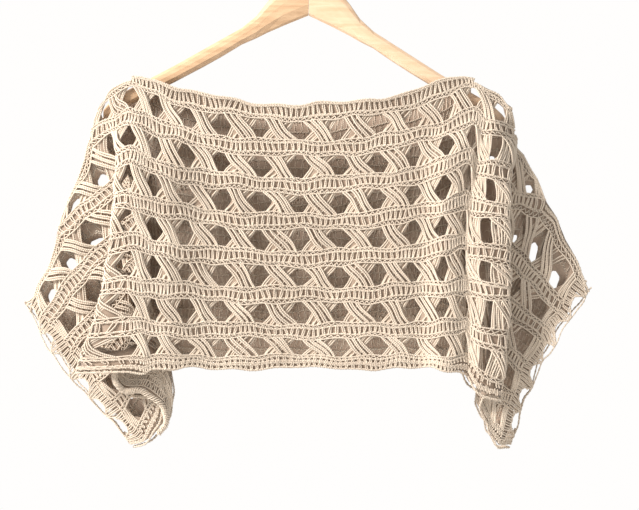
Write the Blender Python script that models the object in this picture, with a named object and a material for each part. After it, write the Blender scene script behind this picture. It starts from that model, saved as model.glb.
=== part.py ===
"""
Crochet crop top on a wooden hanger.

The top is two wide lace panels, front and back, joined along the shoulders and low down at the sides.
Each panel is rows of six-sided gaps between crossed bundles of long stitches, with a dense edging at
the neck and at the hem. The panels are far wider than the hanger, so each side folds back behind the
body and then falls as a loose batwing sleeve with its cuff on the slant.

Metres, +Z up, the wearer's front towards -Y. The origin is the inner top of the hanger's hook, where a
rod carries it. A place on a panel is given by its column u, counted from the middle, and its row r,
counted down from the neck: the first row of gaps has r = 1.
"""
import math
from collections import namedtuple

import bmesh
import bpy
from mathutils import Matrix, Vector

MM = 0.001

# Driving dimensions of the cloth, in millimetres.
WALL = 2.2
BAND_WALL = 2.8
BUNDLE_RISE = 2.4
SEAM_GAP = 0.3
EDGING_GAP = 0.8
ROW_PITCH = 38.5

# The body of the top, where it hangs flat between the hanger's ends.
BODY_MIDDLE_X = -12.6
COLUMN_PITCH = 42.0
LEFT_SQUEEZE = 0.26
RIGHT_SQUEEZE = 0.31
FIRST_ROW_Z = -253.6
NECK_RISE = 1.52
HEM_Z = -503.0
LAST_ROW = 7.5

# Rows and columns of the panels.
HANGER_COLUMN = 6
NECK_ROW = 0.27
NECK_CORNER_ROW = 0.36
TOP_ROW = 0.5
HEM_BAND_ROW = 7.32
GAP_HALF_COLUMN = 0.27
GAP_HALF_ROW = 0.28
CUFF_COLUMN = 10.5
EDGE_COLUMN = 11.0

# How far the front and the back stand off the hanger's plane, in millimetres.
NECK_STANDOFF = 9.0
MIDDLE_STANDOFF = 5.0
HEM_STANDOFF = 17.0
LEFT_STANDOFF = 20.0
RIGHT_STANDOFF = 15.0
BACK_DEPTH = 0.9

# The wooden hanger and its wire hook, in millimetres.
HANGER_TILT = math.radians(1.7)
ARM_THICKNESS = 12.0
HOOK_INNER_RADIUS = 20.0
HOOK_WIRE = 3.6
HOOK_SOCKET_Z = -82.0

# Soft vertical folds of the body. Each has its column at the neck and at the hem, its half width in
# columns, and how far it stands forward (or back, where it is negative) in millimetres.
Fold = namedtuple("Fold", "neck_column hem_column half_width forward")
FRONT_FOLDS = (
    Fold(-4.3, -4.1, 0.45, -2.0),
    Fold(-3.4, -3.1, 0.70, 3.0),
    Fold(-1.4, -2.1, 1.00, 2.5),
    Fold(0.6, 0.3, 1.10, -2.5),
    Fold(2.5, 2.3, 0.80, 3.0),
    Fold(3.5, 3.3, 0.45, -4.5),
    Fold(4.1, 4.0, 0.45, 4.5),
    Fold(4.7, 4.6, 0.40, -4.5),
)
BACK_FOLDS = (
    Fold(-4.5, -4.7, 0.50, 4.0),
    Fold(-3.7, -3.8, 0.60, -4.0),
    Fold(-2.0, -1.5, 1.00, 2.5),
    Fold(0.2, 0.8, 1.20, -3.0),
    Fold(2.2, 2.6, 0.90, 3.0),
    Fold(3.6, 3.5, 0.55, -4.0),
    Fold(4.5, 4.6, 0.50, 3.5),
)

# The sides. Each line runs down the cloth at one column beyond the hanger's end, and each of its knots
# is a row with its place across (x), forward of the hanger (out) and up (z), in millimetres. The line
# at -0.5 is the front ridge, the next ones are the layer folded behind it, and 5 is the cuff's edge.
Knot = namedtuple("Knot", "row x out z")
LEFT_LINES = {
    -0.5: (Knot(0.5, -207, 9, -205), Knot(1.5, -205, 14, -247), Knot(3, -204, 28, -308),
           Knot(4.5, -210, 31, -374), Knot(6, -222, 33, -440), Knot(7.5, -244, 35, -504)),
    0.0: (Knot(0.5, -216, 8, -213), Knot(1.5, -215, 10, -252), Knot(3, -188, 19, -310),
          Knot(4.5, -187, 21, -372), Knot(6, -194, 22, -436), Knot(7.5, -205, 26, -501)),
    0.5: (Knot(0.5, -223, 9, -224), Knot(1.31, -235, 2.5, -261), Knot(3, -186, 11, -321),
          Knot(4.5, -175, 14, -378), Knot(6, -173, 15, -437), Knot(7.5, -157, 22, -499)),
    1.5: (Knot(1.69, -250, 1.5, -301), Knot(3, -216, 6, -346), Knot(4.5, -187, 7, -397),
          Knot(6, -176, 7, -453), Knot(7.5, -158, 12, -503)),
    2.5: (Knot(2.07, -265, 1.5, -346), Knot(3, -243, 6, -376), Knot(4.5, -207, 6, -423),
          Knot(6, -182, 7, -477), Knot(7.5, -157, 13, -528)),
    3.5: (Knot(2.45, -279, 1.5, -390), Knot(3, -268, 5, -405), Knot(4.5, -232, 8, -453),
          Knot(6, -198, 9, -503), Knot(7.5, -160, 12, -547)),
    4.5: (Knot(2.83, -295, 1.5, -428), Knot(3.4, -284, 6, -448), Knot(4.5, -257, 10, -482),
          Knot(6, -220, 9, -530), Knot(7.5, -176, 6, -578)),
    5.0: (Knot(3.02, -301, 1.5, -442), Knot(3.5, -289, 9, -463), Knot(4.5, -269, 15, -496),
          Knot(6, -231, 1.5, -542), Knot(7.5, -191, 1.5, -585)),
}
RIGHT_LINES = {
    -0.5: (Knot(0.5, 187, 9, -208), Knot(3, 169, 24, -314), Knot(4.5, 162, 27, -377),
           Knot(6, 166, 29, -440), Knot(7.5, 162, 30, -507)),
    0.0: (Knot(0.5, 199, 8, -215), Knot(3, 184, 32, -316), Knot(4.5, 179, 36, -381),
          Knot(6, 181, 38, -444), Knot(7.5, 171, 37, -525)),
    0.5: (Knot(0.5, 210, 9, -228), Knot(1.3, 215, 2.5, -256), Knot(3, 205, 29, -323),
          Knot(4.5, 205, 33, -386), Knot(6, 204, 34, -449), Knot(7.5, 196, 33, -533)),
    1.0: (Knot(1.4, 218, 1.5, -266), Knot(3, 195, 19, -339), Knot(4.5, 187, 22, -402),
          Knot(6, 186, 23, -463), Knot(7.5, 178, 25, -530)),
    1.5: (Knot(1.57, 226, 1.5, -277), Knot(3, 207, 9, -352), Knot(4.5, 190, 11, -415),
          Knot(6, 186, 13, -476), Knot(7.5, 176, 17, -540)),
    2.5: (Knot(1.87, 244, 1.5, -316), Knot(3, 222, 7, -372), Knot(4.5, 201, 8, -429),
          Knot(6, 191, 9, -490), Knot(7.5, 183, 13, -555)),
    3.5: (Knot(2.17, 264, 1.5, -358), Knot(3, 245, 6, -393), Knot(4.5, 215, 9, -444),
          Knot(6, 198, 9, -505), Knot(7.5, 187, 11, -570)),
    4.5: (Knot(2.47, 286, 1.5, -405), Knot(3, 273, 5, -423), Knot(4.5, 244, 10, -469),
          Knot(6, 217, 9, -520), Knot(7.5, 198, 8, -582)),
    5.0: (Knot(2.62, 294, 1.5, -424), Knot(3.2, 281, 9, -441), Knot(4.5, 252, 15, -484),
          Knot(6, 230, 1.5, -530), Knot(7.5, 211, 1.5, -586)),
}

# The back's left side hangs plain where the front's hem rolls up, so these knots are its own.
BACK_LEFT_HEM = {
    0.5: (Knot(6, -173, 15, -437), Knot(7.5, -151, 24, -499)),
    1.5: (Knot(6, -175, 7, -453), Knot(7.5, -153, 11, -503)),
    2.5: (Knot(6, -182, 7, -477), Knot(7.5, -149, 12, -527)),
    3.5: (Knot(6, -198, 9, -502), Knot(7.5, -153, 10, -548)),
    4.5: (Knot(6, -219, 9, -530), Knot(7.5, -171, 6, -576)),
}

# Columns, from the middle, where the cloth turns back on itself: there it runs straight to the back.
LEFT_TURNS = (5.5, 6.5)
RIGHT_TURNS = (6.5, 7.0)

# The hanger's arm, from the middle to its end: distance across, top edge and bottom edge.
ArmStation = namedtuple("ArmStation", "across top bottom")
ARM = (
    ArmStation(0.15, -83, -130), ArmStation(25, -95, -141), ArmStation(44, -117, -150),
    ArmStation(55, -132, -156), ArmStation(70, -145, -163), ArmStation(90, -157, -176),
    ArmStation(110, -169, -188), ArmStation(140, -187, -205), ArmStation(165, -201, -218),
    ArmStation(185, -212, -230), ArmStation(200, -221, -239), ArmStation(209, -229, -244),
    ArmStation(214, -236, -246),
)


def shoulder_row(side, beyond):
    """Row at which the shoulder fold cuts a column beyond the hanger's end."""
    slope = 0.38 if side < 0 else 0.30
    return 1.12 + slope * beyond


def smooth_step(low, high, value):
    """Ease from 0 at low to 1 at high."""
    share = min(1.0, max(0.0, (value - low) / (high - low)))
    return share * share * (3.0 - 2.0 * share)


def spline(knots, places, at, turns=(), turned=0.0):
    """Smooth curve through places at the parameters in knots, straight beyond its ends."""
    last = len(knots) - 1
    slopes = []
    for i in range(last + 1):
        low, high = max(i - 1, 0), min(i + 1, last)
        slope = (places[high] - places[low]) / (knots[high] - knots[low])
        if knots[i] in turns:
            slope.x *= 1.0 - turned
        slopes.append(slope)
    if at <= knots[0]:
        return places[0] + slopes[0] * (at - knots[0])
    if at >= knots[last]:
        return places[last] + slopes[last] * (at - knots[last])
    i = max(k for k in range(last) if knots[k] <= at)
    span = knots[i + 1] - knots[i]
    t = (at - knots[i]) / span
    start = places[i] * (2 * t ** 3 - 3 * t ** 2 + 1) + slopes[i] * span * (t ** 3 - 2 * t ** 2 + t)
    end = places[i + 1] * (3 * t ** 2 - 2 * t ** 3) + slopes[i + 1] * span * (t ** 3 - t ** 2)
    return start + end


def body_place(u, r, face):
    """Place on the flat body, in millimetres, on the front (face -1) or the back (face +1)."""
    squeeze = LEFT_SQUEEZE if u < 0 else RIGHT_SQUEEZE - 0.10 * (1.0 - smooth_step(1.0, 4.0, r))
    x = BODY_MIDDLE_X + COLUMN_PITCH * u - squeeze * u ** 3
    first = FIRST_ROW_Z + NECK_RISE * u * u
    pitch = (HEM_Z - first) / (LAST_ROW - 1.0)
    if r < 1.0:
        pitch *= 1.0 - 0.35 * smooth_step(4.0, 5.0, abs(u))
    z = first + pitch * (r - 1.0)
    drop = (r - NECK_ROW) / (LAST_ROW - NECK_ROW)
    out = NECK_STANDOFF + MIDDLE_STANDOFF * (1.0 - (u / 5.5) ** 2) + (HEM_STANDOFF - NECK_STANDOFF) * drop
    side_standoff = LEFT_STANDOFF if u < 0 else RIGHT_STANDOFF
    out += side_standoff * smooth_step(2.0, 4.6, abs(u)) * smooth_step(0.8, 2.8, r)
    for fold in FRONT_FOLDS if face < 0 else BACK_FOLDS:
        middle = fold.neck_column + (fold.hem_column - fold.neck_column) * drop
        reach = math.exp(-((u - middle) / fold.half_width) ** 2)
        out += fold.forward * reach * smooth_step(0.8, 2.6, r)
    return Vector((x, face * out, z))


def side_place(side, beyond, r, face):
    """Place on one line of a side, in millimetres."""
    line = (LEFT_LINES if side < 0 else RIGHT_LINES)[beyond]
    if side < 0 < face and beyond in BACK_LEFT_HEM:
        line = tuple(knot for knot in line if knot.row < 6) + BACK_LEFT_HEM[beyond]
    places = [Vector((knot.x, face * knot.out * (1.0 if face < 0 else BACK_DEPTH), knot.z)) for knot in line]
    return spline([knot.row for knot in line], places, r)


def cloth(u, r, face):
    """Place on the middle of a panel's wall, in millimetres."""
    if abs(u) <= 4.0:
        return body_place(u, r, face)
    side = -1 if u < 0 else 1
    knots = [3.0, 4.0, 5.0]
    places = [body_place(side * k, r, face) for k in knots]
    for beyond in LEFT_LINES if side < 0 else RIGHT_LINES:
        knots.append(HANGER_COLUMN + beyond)
        places.append(side_place(side, beyond, r, face))
    return spline(knots, places, abs(u), LEFT_TURNS if side < 0 else RIGHT_TURNS, smooth_step(1.3, 2.5, r))


def outward(u, r, face):
    """Unit vector out of the cloth at a place on a panel."""
    step = 0.01
    across = cloth(u + step, r, face) - cloth(u - step, r, face)
    down = cloth(u, r + step, face) - cloth(u, r - step, face)
    return (across.cross(down) * face).normalized()


class Sheet:
    """A panel's outer skin as triangles on (u, r), turned into a closed wall at the end."""

    def __init__(self, face, wall):
        self.face = face
        self.wall = wall
        self.rise = {}
        self.triangles = []

    def point(self, u, r, rise=0.0):
        key = (round(u, 4), round(r, 4))
        self.rise[key] = max(self.rise.get(key, 0.0), rise)
        return key

    def ring(self, outer, inner):
        """Fill between two loops, each a list of (angle, key) that runs anticlockwise."""
        outer, inner = sorted(outer), sorted(inner)
        n, m = len(outer), len(inner)
        i = j = 0
        while i < n or j < m:
            next_outer = outer[(i + 1) % n][0] + (2 * math.pi if i + 1 >= n else 0.0)
            next_inner = inner[(j + 1) % m][0] + (2 * math.pi if j + 1 >= m else 0.0)
            if j >= m or (i < n and next_outer <= next_inner):
                self.triangles.append((outer[i % n][1], outer[(i + 1) % n][1], inner[j % m][1]))
                i += 1
            else:
                self.triangles.append((inner[(j + 1) % m][1], inner[j % m][1], outer[i % n][1]))
                j += 1

    def build(self, name, colour):
        """Make the closed wall: the outer skin, the plain inner skin, and the edges between them."""
        mesh_bm = bmesh.new()
        outer, inner = {}, {}
        for key, rise in self.rise.items():
            place = cloth(key[0], key[1], self.face)
            out = outward(key[0], key[1], self.face)
            outer[key] = mesh_bm.verts.new((place + out * (self.wall / 2 + rise)) * MM)
            inside = place - out * (self.wall / 2)
            inside.y = self.face * max(self.face * inside.y, SEAM_GAP / 2)
            inner[key] = mesh_bm.verts.new(inside * MM)
        turn = 1 if self.face < 0 else -1
        edges = set()
        for a, b, c in (corners[::turn] for corners in self.triangles):
            mesh_bm.faces.new((outer[a], outer[b], outer[c]))
            mesh_bm.faces.new((inner[c], inner[b], inner[a]))
            edges.update(((a, b), (b, c), (c, a)))
        for a, b in edges:
            if (b, a) in edges:
                continue
            if a < b:
                mesh_bm.faces.new((outer[b], outer[a], inner[a]))
                mesh_bm.faces.new((outer[b], inner[a], inner[b]))
            else:
                mesh_bm.faces.new((outer[b], outer[a], inner[b]))
                mesh_bm.faces.new((outer[a], inner[a], inner[b]))
        return finish_mesh(mesh_bm, name, colour, 0.85, 0.0, 40)


def finish_mesh(mesh_bm, name, colour, roughness, metallic, sharp_degrees):
    """Turn a bmesh into a named object with its own material."""
    mesh = bpy.data.meshes.new(name)
    mesh_bm.to_mesh(mesh)
    mesh_bm.free()
    mesh.shade_smooth()
    mesh.set_sharp_from_angle(angle=math.radians(sharp_degrees))
    material = bpy.data.materials.new(name)
    material.use_nodes = True
    shader = material.node_tree.nodes["Principled BSDF"]
    shader.inputs["Base Color"].default_value = (*colour, 1.0)
    shader.inputs["Roughness"].default_value = roughness
    shader.inputs["Metallic"].default_value = metallic
    mesh.materials.append(material)
    part = bpy.data.objects.new(name, mesh)
    bpy.context.scene.collection.objects.link(part)
    return part


def lattice_corner(column_edge, row_edge, face):
    """Corner of a cell, drawn onto the shoulder fold where the fold cuts its row."""
    side = -1 if column_edge < 0 else 1
    beyond = abs(column_edge) - HANGER_COLUMN
    first, second = (1.5, 2.5) if face < 0 else (2.0, 3.0)
    on_fold = {
        (0.5, first): 0.5, (1.5, first): 1.5, (2.5, first): 2.2,
        (2.5, second): 2.8, (3.5, second): 3.5, (4.5, second): 4.5, (5.0, second): 5.0,
    }
    if (beyond, row_edge) not in on_fold:
        return (column_edge, row_edge)
    on = on_fold[(beyond, row_edge)]
    return (side * (HANGER_COLUMN + on), shoulder_row(side, on))


def row_edges(face):
    """Rows at which the cells begin and end: the back's lie half a row lower than the front's."""
    if face < 0:
        return [0.5, 1.5, 2.5, 3.5, 4.5, 5.5, 6.5, HEM_BAND_ROW]
    return [1.0, 2.0, 3.0, 4.0, 5.0, 6.0, 7.0]


def reach_of_row(index):
    """Last column that a row of cells has: the shoulder fold takes the corners off the top rows."""
    return (6, 8, 10)[min(index, 2)]


def has_cell(column, index, face):
    """True where a panel has a cell."""
    return 0 <= index < len(row_edges(face)) - 1 and abs(column) <= reach_of_row(index)


def add_gap_cell(sheet, column, index):
    """One repeat of the lace: a six-sided gap with the crossed bundles standing proud beside it."""
    rows = row_edges(sheet.face)
    left, right, top, bottom = column - 0.5, column + 0.5, rows[index], rows[index + 1]
    corners = [lattice_corner(u, r, sheet.face)
               for u, r in ((left, bottom), (right, bottom), (right, top), (left, top))]

    def place(s, t):
        weights = ((1 - s) * (1 - t), (1 + s) * (1 - t), (1 + s) * (1 + t), (1 - s) * (1 + t))
        return [sum(w * corner[k] for w, corner in zip(weights, corners)) / 4 for k in (0, 1)]

    def loop(points):
        return [(math.atan2(t, s) % (2 * math.pi), sheet.point(*place(s, t), rise)) for s, t, rise in points]

    rise_left = BUNDLE_RISE if has_cell(column - 1, index, sheet.face) else 0.0
    rise_right = BUNDLE_RISE if has_cell(column + 1, index, sheet.face) else 0.0
    border = [(-1, -1, 0.0), (1, -1, 0.0), (1, 0, rise_right), (1, 1, 0.0), (-1, 1, 0.0), (-1, 0, rise_left)]
    if abs(column) >= 5:
        border += [(0, -1, 0.0), (0, 1, 0.0)]
    half_s = 2 * GAP_HALF_COLUMN
    half_t = min(2 * GAP_HALF_ROW, 0.62)
    gap = [(half_s, 0, 0.0), (half_s / 2, half_t, 0.0), (-half_s / 2, half_t, 0.0),
           (-half_s, 0, 0.0), (-half_s / 2, -half_t, 0.0), (half_s / 2, -half_t, 0.0)]
    sheet.ring(loop(border), loop(gap))


def add_cuff_cell(sheet, side, index):
    """The cuff's edge beside one row: a thin turning chain with a tall gap inside it."""
    rows = row_edges(sheet.face)
    low, high = sorted((side * CUFF_COLUMN, side * EDGE_COLUMN))
    corners = [lattice_corner(u, r, sheet.face)
               for u, r in ((low, rows[index + 1]), (high, rows[index + 1]), (high, rows[index]), (low, rows[index]))]
    mid_u = (low + high) / 2
    mid_r = sum(corner[1] for corner in corners) / 4

    def shrunk(corner):
        return (mid_u + 0.52 * (corner[0] - mid_u), mid_r + 0.62 * (corner[1] - mid_r))

    def loop(points):
        return [(math.atan2(mid_r - r, u - mid_u) % (2 * math.pi), sheet.point(u, r)) for u, r in points]

    inner_edge = side * CUFF_COLUMN
    beside = lattice_corner(inner_edge, rows[index], sheet.face)
    below = lattice_corner(inner_edge, rows[index + 1], sheet.face)
    middle_of_inner_edge = ((beside[0] + below[0]) / 2, (beside[1] + below[1]) / 2)
    sheet.ring(loop(corners + [middle_of_inner_edge]), loop([shrunk(corner) for corner in corners]))


def make_panel(name, face, colour):
    """A whole lace panel."""
    sheet = Sheet(face, WALL)
    for index in range(len(row_edges(face)) - 1):
        reach = reach_of_row(index)
        for column in range(-reach, reach + 1):
            add_gap_cell(sheet, column, index)
        if index >= 2:
            add_cuff_cell(sheet, -1, index)
            add_cuff_cell(sheet, 1, index)
    return sheet.build(name, colour)


def make_band(name, face, columns, top, bottom, colour):
    """A dense edging between two rows, each given by a function of the column."""
    sheet = Sheet(face, BAND_WALL)
    for left, right in zip(columns, columns[1:]):
        corners = [sheet.point(left, bottom(left)), sheet.point(right, bottom(right)),
                   sheet.point(right, top(right)), sheet.point(left, top(left))]
        sheet.triangles.append((corners[0], corners[1], corners[2]))
        sheet.triangles.append((corners[0], corners[2], corners[3]))
    return sheet.build(name, colour)


def neck_row(u):
    """Row of the neck's edge: the edging narrows into the corners at the shoulders."""
    share = smooth_step(4.0, 5.0, abs(u))
    return NECK_ROW + (NECK_CORNER_ROW - NECK_ROW) * share


def edging_columns(last):
    """Columns where an edging has a section: the cells' corners, and closer where the cloth folds."""
    inner = [k + 0.5 for k in range(-5, 5)]
    outer = [k / 2 for k in range(10, int(last * 2) + 1)]
    return sorted(inner + outer + [-u for u in outer])


def make_edgings(colour):
    """The neck's and the hem's edgings, each worked onto its panel's edge."""
    gap = EDGING_GAP / ROW_PITCH
    make_band("neck_band_front", -1, edging_columns(5), neck_row, lambda u: TOP_ROW - gap, colour)
    make_band("neck_band_back", 1, edging_columns(6.5),
              lambda u: neck_row(u) if abs(u) <= 5 else TOP_ROW, lambda u: row_edges(1)[0] - gap, colour)
    make_band("hem_band_front", -1, edging_columns(11), lambda u: HEM_BAND_ROW + gap, lambda u: LAST_ROW, colour)
    make_band("hem_band_back", 1, edging_columns(11), lambda u: row_edges(1)[-1] + gap, lambda u: LAST_ROW, colour)


def make_arm(name, side, colour):
    """One carved arm of the hanger, a rounded bar that swells towards the middle."""
    mesh_bm = bmesh.new()
    rings = []
    sides = 12
    for i, station in enumerate(ARM):
        middle, half = (station.top + station.bottom) / 2, (station.top - station.bottom) / 2
        thin = 0.72 if i >= len(ARM) - 2 else 1.0
        ring = []
        for k in range(sides):
            angle = 2 * math.pi * k / sides
            square = max(abs(math.cos(angle)), abs(math.sin(angle))) ** 0.35
            y = ARM_THICKNESS / 2 * thin * math.cos(angle) / square
            z = middle + half * math.sin(angle) / square
            ring.append(mesh_bm.verts.new(Vector((side * station.across, y, z)) * MM))
        rings.append(ring)
    for ring, after in zip(rings, rings[1:]):
        for k in range(sides):
            mesh_bm.faces.new((ring[k], ring[(k + 1) % sides], after[(k + 1) % sides], after[k]))
    mesh_bm.faces.new(rings[0])
    mesh_bm.faces.new(rings[-1])
    bmesh.ops.recalc_face_normals(mesh_bm, faces=mesh_bm.faces)
    arm = finish_mesh(mesh_bm, name, colour, 0.45, 0.0, 50)
    arm.data.transform(Matrix.Rotation(HANGER_TILT, 4, "Y"))
    return arm


def make_hook(name, colour):
    """The wire hook, from its seat on the wood up round the rod's place to its open end."""
    radius = HOOK_INNER_RADIUS + HOOK_WIRE / 2
    centre_z = -HOOK_INNER_RADIUS
    shank = [Vector((0, 0, HOOK_SOCKET_Z)), Vector((0, 0, -70)), Vector((0, 0, -60)), Vector((2.5, 0, -51)),
             Vector((10, 0, -43)), Vector((17, 0, -35))]
    route = shank + [Vector((radius * math.cos(a), 0, centre_z + radius * math.sin(a)))
                     for a in (math.radians(d) for d in range(-15, 216, 15))]
    curve = bpy.data.curves.new(name, "CURVE")
    curve.dimensions = "3D"
    curve.bevel_depth = HOOK_WIRE / 2 * MM
    curve.bevel_resolution = 2
    curve.use_fill_caps = True
    line = curve.splines.new("POLY")
    steps = 34
    line.points.add(steps)
    turn = Matrix.Rotation(HANGER_TILT, 3, "Y")
    for i in range(steps + 1):
        place = turn @ spline(list(range(len(route))), route, i * (len(route) - 1) / steps)
        line.points[i].co = (*(place * MM), 1.0)
    material = bpy.data.materials.new(name)
    material.use_nodes = True
    shader = material.node_tree.nodes["Principled BSDF"]
    shader.inputs["Base Color"].default_value = (*colour, 1.0)
    shader.inputs["Roughness"].default_value = 0.25
    shader.inputs["Metallic"].default_value = 1.0
    curve.materials.append(material)
    hook = bpy.data.objects.new(name, curve)
    bpy.context.scene.collection.objects.link(hook)
    return hook


for old in list(bpy.data.objects):
    bpy.data.objects.remove(old, do_unlink=True)

YARN = (0.62, 0.52, 0.40)
EDGING_YARN = (0.58, 0.48, 0.36)
make_panel("front_panel", -1, YARN)
make_panel("back_panel", 1, YARN)
make_edgings(EDGING_YARN)
make_arm("hanger_arm_left", -1, (0.78, 0.52, 0.28))
make_arm("hanger_arm_right", 1, (0.86, 0.68, 0.42))
make_hook("hanger_hook", (0.75, 0.75, 0.76))
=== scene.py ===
import math
from collections import namedtuple

import bmesh
import bpy
import numpy as np
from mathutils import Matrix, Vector


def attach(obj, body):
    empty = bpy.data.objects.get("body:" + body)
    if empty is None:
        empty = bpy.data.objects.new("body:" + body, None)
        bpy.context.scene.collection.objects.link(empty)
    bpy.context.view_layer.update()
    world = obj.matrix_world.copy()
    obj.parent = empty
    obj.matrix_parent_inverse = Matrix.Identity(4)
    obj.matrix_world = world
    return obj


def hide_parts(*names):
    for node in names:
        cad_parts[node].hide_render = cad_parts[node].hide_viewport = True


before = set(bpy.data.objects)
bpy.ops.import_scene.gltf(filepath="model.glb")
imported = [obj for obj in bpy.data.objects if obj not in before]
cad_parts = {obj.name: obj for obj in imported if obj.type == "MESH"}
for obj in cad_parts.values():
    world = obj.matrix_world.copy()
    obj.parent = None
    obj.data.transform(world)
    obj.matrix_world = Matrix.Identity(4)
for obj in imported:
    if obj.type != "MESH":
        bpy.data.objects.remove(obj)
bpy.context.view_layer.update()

# The camera.
# The top is photographed straight on, from a little over a metre away. The picture is 639 pixels wide,
# and a pixel is 1.05 mm at the cloth.
MM = 0.001
PIXELS_ACROSS = 639
PIXEL_SIZE = 1.05
PICTURE_WIDTH = PIXELS_ACROSS * PIXEL_SIZE * MM
CAMERA_DISTANCE = 1.25
PICTURE_CENTRE = Vector((7.9, -15.0, -384.3)) * MM


def add_object(name, data):
    """Put a camera, a light or a mesh into the scene."""
    added = bpy.data.objects.new(name, data)
    bpy.context.scene.collection.objects.link(added)
    return added


camera_data = bpy.data.cameras.new("camera")
camera_data.sensor_width = 36.0
camera_data.lens = camera_data.sensor_width * CAMERA_DISTANCE / PICTURE_WIDTH
camera = add_object("camera", camera_data)
camera.location = PICTURE_CENTRE + Vector((0.0, -CAMERA_DISTANCE, 0.0))
camera.rotation_euler = (math.radians(90.0), 0.0, 0.0)
bpy.context.scene.camera = camera

# The front panel.
# It is the wide lace front, crocheted in two-ply cotton yarn from the neck down, in one piece with the
# fronts of both batwing sleeves. Rows of crossed long stitches, with a six-sided gap between each two
# crossings, alternate with rows of short posts between chains.

# A place on a panel is given by its column u, counted from the middle, and its row r, counted down from
# the neck. Both are in repeats of the lace, and all the lengths here are in millimetres.
BODY_MIDDLE_X = -12.6
COLUMN_PITCH = 42.0
ROW_PITCH = 38.5
FIRST_ROW_Z = -253.6
FIRST_ROW_RISE = 1.52
HEM_Z = -503.0
NECK_ROW = 0.27
LAST_ROW = 7.5
NECK_COLUMN = 5
HANGER_COLUMN = 6
CUFF_COLUMN = 10.5
EDGE_COLUMN = 11.0

# The body stands off from the hanger's plane, and its left and right sides stand off further. The back's
# sleeves are a little flatter than the front's.
BODY_STANDOFF = 9.0
LEFT_STANDOFF = 20.0
RIGHT_STANDOFF = 15.0
BACK_DEPTH = 0.9
SHOULDER_TOP_ROW = 1.12
LEFT_SHOULDER_SLOPE = 0.38
RIGHT_SHOULDER_SLOPE = 0.30

# Each soft fold of the body runs from the neck to the hem. It stands outwards, or inwards where that is
# less than 0.
Fold = namedtuple("Fold", "neck_column hem_column half_width outwards")
FRONT_FOLDS = (
    Fold(-4.3, -4.1, 0.45, -2.0),
    Fold(-3.4, -3.1, 0.70, 3.0),
    Fold(-1.4, -2.1, 1.00, 2.5),
    Fold(0.6, 0.3, 1.10, -2.5),
    Fold(2.5, 2.3, 0.80, 3.0),
    Fold(3.5, 3.3, 0.45, -4.5),
    Fold(4.1, 4.0, 0.45, 4.5),
    Fold(4.7, 4.6, 0.40, -4.5),
)
BACK_FOLDS = (
    Fold(-4.5, -4.7, 0.50, 4.0),
    Fold(-3.7, -3.8, 0.60, -4.0),
    Fold(-2.0, -1.5, 1.00, 2.5),
    Fold(0.2, 0.8, 1.20, -3.0),
    Fold(2.2, 2.6, 0.90, 3.0),
    Fold(3.6, 3.5, 0.55, -4.0),
    Fold(4.5, 4.6, 0.50, 3.5),
)

# At the sides the cloth folds back behind the body, then falls as the sleeve. Each line runs down it at
# one column beyond the hanger's end, and -0.5 on the left and 0.5 on the right are the front ridges. Each
# knot on a line gives its row and its place.
Knot = namedtuple("Knot", "row x out z")
LEFT_LINES = {
    -0.5: (Knot(0.5, -207, 9, -205), Knot(1.5, -205, 14, -247), Knot(3, -204, 28, -308),
           Knot(4.5, -210, 31, -374), Knot(6, -222, 33, -440), Knot(7.5, -244, 35, -504)),
    0.0: (Knot(0.5, -216, 8, -213), Knot(1.5, -215, 10, -252), Knot(3, -188, 19, -310),
          Knot(4.5, -187, 21, -372), Knot(6, -194, 22, -436), Knot(7.5, -205, 26, -501)),
    0.5: (Knot(0.5, -223, 9, -224), Knot(1.31, -235, 2.5, -261), Knot(3, -186, 11, -321),
          Knot(4.5, -175, 14, -378), Knot(6, -173, 15, -437), Knot(7.5, -157, 22, -499)),
    1.5: (Knot(1.69, -250, 1.5, -301), Knot(3, -216, 6, -346), Knot(4.5, -187, 7, -397),
          Knot(6, -176, 7, -453), Knot(7.5, -158, 12, -503)),
    2.5: (Knot(2.07, -265, 1.5, -346), Knot(3, -243, 6, -376), Knot(4.5, -207, 6, -423),
          Knot(6, -182, 7, -477), Knot(7.5, -157, 13, -528)),
    3.5: (Knot(2.45, -279, 1.5, -390), Knot(3, -268, 5, -405), Knot(4.5, -232, 8, -453),
          Knot(6, -198, 9, -503), Knot(7.5, -160, 12, -547)),
    4.5: (Knot(2.83, -295, 1.5, -428), Knot(3.4, -284, 6, -448), Knot(4.5, -257, 10, -482),
          Knot(6, -220, 9, -530), Knot(7.5, -176, 6, -578)),
    5.0: (Knot(3.02, -301, 1.5, -442), Knot(3.5, -289, 9, -463), Knot(4.5, -269, 15, -496),
          Knot(6, -231, 1.5, -542), Knot(7.5, -191, 1.5, -585)),
}
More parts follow.
